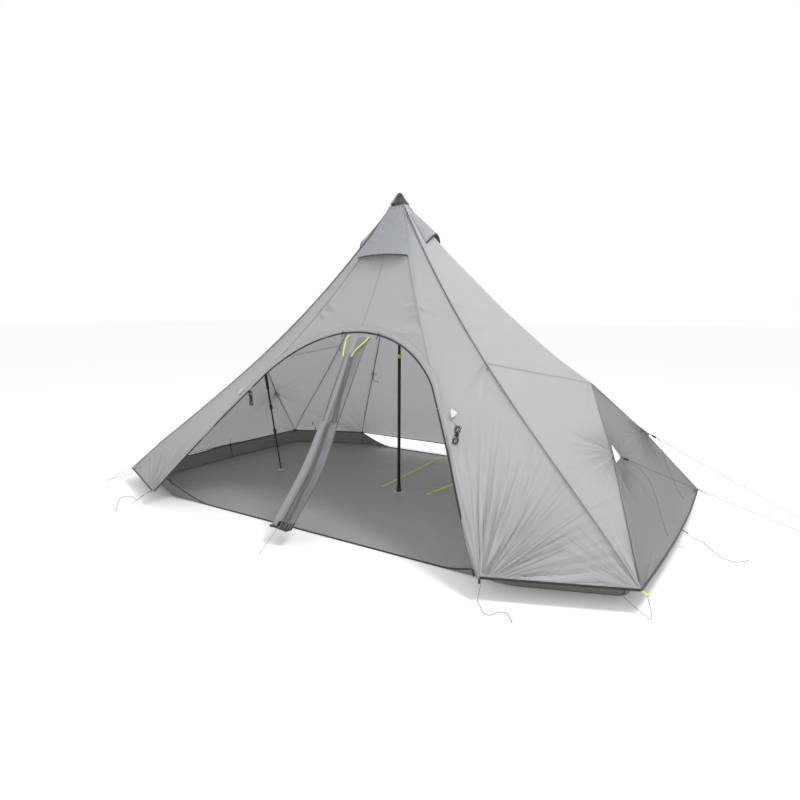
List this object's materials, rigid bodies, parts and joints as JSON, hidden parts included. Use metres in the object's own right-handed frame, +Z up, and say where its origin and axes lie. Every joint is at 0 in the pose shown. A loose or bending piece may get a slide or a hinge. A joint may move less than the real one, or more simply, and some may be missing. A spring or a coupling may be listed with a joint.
{
  "type": "teepee tent",
  "caption": "Single-pole teepee tent with two propped end peaks, an arched front door tied up in the middle, a tub floor and guylines.",
  "frame": {"origin": "on the ground under the main pole, at the middle of the tent's footprint", "axes": "+X towards the right-hand end, -Y out of the front door, +Z up"},
  "size_m": [6.2016, 2.8563, 2.3],
  "materials": {
    "fly_cloth": "coated ripstop, light cool grey",
    "fly_cloth_dark": "coated ripstop, mid grey",
    "hood_cloth": "coated ripstop, blue grey",
    "floor_cloth": "coated plain weave, dark grey",
    "wall_cloth": "coated plain weave, brownish grey",
    "black_webbing": "woven tape",
    "green_webbing": "woven tape, bright yellow green",
    "white_patch": "sewn reinforcement",
    "guyline_cord": "braided cord",
    "peg_cord": "braided cord",
    "stored_cord": "braided cord",
    "black_tube": "black anodised",
    "black_plastic": "moulded",
    "green_plastic": "moulded",
    "black_rubber": "moulded",
    "black_foam": "closed-cell foam",
    "dark_metal": "cast zinc, black"
  },
  "bodies": {
    "shelter": {"apex_cap": "black_plastic", "corner_tabs": "black_webbing", "edge_binding": "black_webbing", "floor_sheet": "floor_cloth", "floor_straps": "green_webbing", "floor_walls": "wall_cloth", "fly_back_panel": "fly_cloth", "fly_end_walls": "fly_cloth_dark", "fly_front_panel": "fly_cloth", "fly_shoulder_panels": "fly_cloth", "fly_side_panels": "fly_cloth", "fly_top_panels": "fly_cloth", "guy_patches": "white_patch", "guyline_left_front": "guyline_cord", "guyline_left_rear": "guyline_cord", "guyline_right_front": "guyline_cord", "guyline_right_rear": "guyline_cord", "main_pole_lower": "black_tube", "peg_cord_front_left": "peg_cord", "peg_cord_front_right": "peg_cord", "peg_cord_right_corner": "peg_cord", "peg_cord_right_middle": "peg_cord", "peg_cord_right_rear": "peg_cord", "peg_cord_side_left": "peg_cord", "peg_tail_front_left": "peg_cord", "pole_collar": "green_plastic", "pole_foot": "black_rubber", "stored_guyline_left": "stored_cord", "stored_guyline_right": "stored_cord", "support_pole_grips": "black_foam", "support_pole_shafts": "black_tube", "upper_lock_collars": "black_plastic", "wall_hooks": "black_plastic", "wall_piping": "black_webbing"},
    "main_pole_top": {"main_pole_upper": "black_tube"},
    "door": {"gathered_door": "fly_cloth", "door_ties": "green_webbing", "door_peg_cord": "peg_cord"},
    "front_hood": {"vent_hood_front": "hood_cloth"},
    "back_hood": {"vent_hood_back": "hood_cloth"},
    "zip_left": {"zip_slider_left": "dark_metal"},
    "zip_right": {"zip_slider_right": "dark_metal"},
    "pole_middle_left": {"support_pole_middle_left": "black_tube", "lower_lock_collar_left": "black_plastic"},
    "pole_lower_left": {"support_pole_lower_left": "black_tube", "pole_basket_left": "black_plastic"},
    "upper_lever_left": {"upper_lock_lever_left": "black_plastic"},
    "lower_lever_left": {"lower_lock_lever_left": "black_plastic"},
    "pole_middle_right": {"support_pole_middle_right": "black_tube", "lower_lock_collar_right": "black_plastic"},
    "pole_lower_right": {"support_pole_lower_right": "black_tube", "pole_basket_right": "black_plastic"},
    "upper_lever_right": {"upper_lock_lever_right": "black_plastic"},
    "lower_lever_right": {"lower_lock_lever_right": "black_plastic"},
    "slider_left_front": {"tensioner_left_front": "black_plastic"},
    "slider_left_rear": {"tensioner_left_rear": "black_plastic"},
    "slider_right_front": {"tensioner_right_front": "black_plastic", "guyline_tail_right_front": "guyline_cord"},
    "slider_right_rear": {"tensioner_right_rear": "black_plastic", "guyline_tail_right_rear": "guyline_cord"}
  },
  "joints": [
    {"name": "main_pole_height", "type": "slide", "parent": "shelter", "child": "main_pole_top", "axis": [0, 0, -1], "range_m": [0, 0.5]},
    {"name": "door_swing", "type": "hinge", "parent": "shelter", "child": "door", "pos_m": [0.026, -0.545, 1.262], "axis": [-1, 0, 0], "range_deg": [0, 60]},
    {"name": "front_hood_tilt", "type": "hinge", "parent": "shelter", "child": "front_hood", "pos_m": [0, -0.056, 2.2], "axis": [-1, 0, 0], "range_deg": [0, 10]},
    {"name": "back_hood_tilt", "type": "hinge", "parent": "shelter", "child": "back_hood", "pos_m": [0, 0.056, 2.2], "axis": [1, 0, 0], "range_deg": [0, 10]},
    {"name": "zip_left_travel", "type": "hinge", "parent": "shelter", "child": "zip_left", "pos_m": [0, -0.939, 0.583], "axis": [0, -0.8556, 0.5176], "range_deg": [0, 18]},
    {"name": "zip_right_travel", "type": "hinge", "parent": "shelter", "child": "zip_right", "pos_m": [0, -0.939, 0.583], "axis": [0, 0.8556, -0.5176], "range_deg": [0, 16]},
    {"name": "pole_middle_left_slide", "type": "slide", "parent": "shelter", "child": "pole_middle_left", "axis": [-0.2256, 0.0406, 0.9734], "range_m": [0, 0.15]},
    {"name": "pole_lower_left_slide", "type": "slide", "parent": "pole_middle_left", "child": "pole_lower_left", "axis": [-0.2256, 0.0406, 0.9734], "range_m": [0, 0.2]},
    {"name": "upper_lever_left_open", "type": "hinge", "parent": "shelter", "child": "upper_lever_left", "pos_m": [-1.36645, -0.01628, 0.57568], "axis": [-0.0092, -0.9992, 0.0396], "range_deg": [0, 110]},
    {"name": "lower_lever_left_open", "type": "hinge", "parent": "pole_middle_left", "child": "lower_lever_left", "pos_m": [-1.31636, -0.0253, 0.3596], "axis": [-0.0092, -0.9992, 0.0396], "range_deg": [0, 110]},
    {"name": "pole_middle_right_slide", "type": "slide", "parent": "shelter", "child": "pole_middle_right", "axis": [0.2256, 0.0406, 0.9734], "range_m": [0, 0.15]},
    {"name": "pole_lower_right_slide", "type": "slide", "parent": "pole_middle_right", "child": "pole_lower_right", "axis": [0.2256, 0.0406, 0.9734], "range_m": [0, 0.2]},
    {"name": "upper_lever_right_open", "type": "hinge", "parent": "shelter", "child": "upper_lever_right", "pos_m": [1.36645, -0.01628, 0.57568], "axis": [-0.0092, 0.9992, -0.0396], "range_deg": [0, 110]},
    {"name": "lower_lever_right_open", "type": "hinge", "parent": "pole_middle_right", "child": "lower_lever_right", "pos_m": [1.31636, -0.0253, 0.3596], "axis": [-0.0092, 0.9992, -0.0396], "range_deg": [0, 110]},
    {"name": "tensioner_left_front_slide", "type": "slide", "parent": "shelter", "child": "slider_left_front", "axis": [-0.8741, 0.2654, -0.4068], "range_m": [0, 0.3]},
    {"name": "tensioner_left_rear_slide", "type": "slide", "parent": "shelter", "child": "slider_left_rear", "axis": [-0.8781, -0.2487, -0.4087], "range_m": [0, 0.3]},
    {"name": "tensioner_right_front_slide", "type": "slide", "parent": "shelter", "child": "slider_right_front", "axis": [0.8148, 0.4361, -0.382], "range_m": [0, 0.3]},
    {"name": "tensioner_right_rear_slide", "type": "slide", "parent": "shelter", "child": "slider_right_rear", "axis": [0.9043, -0.0505, -0.424], "range_m": [0, 0.3]}
  ]
}
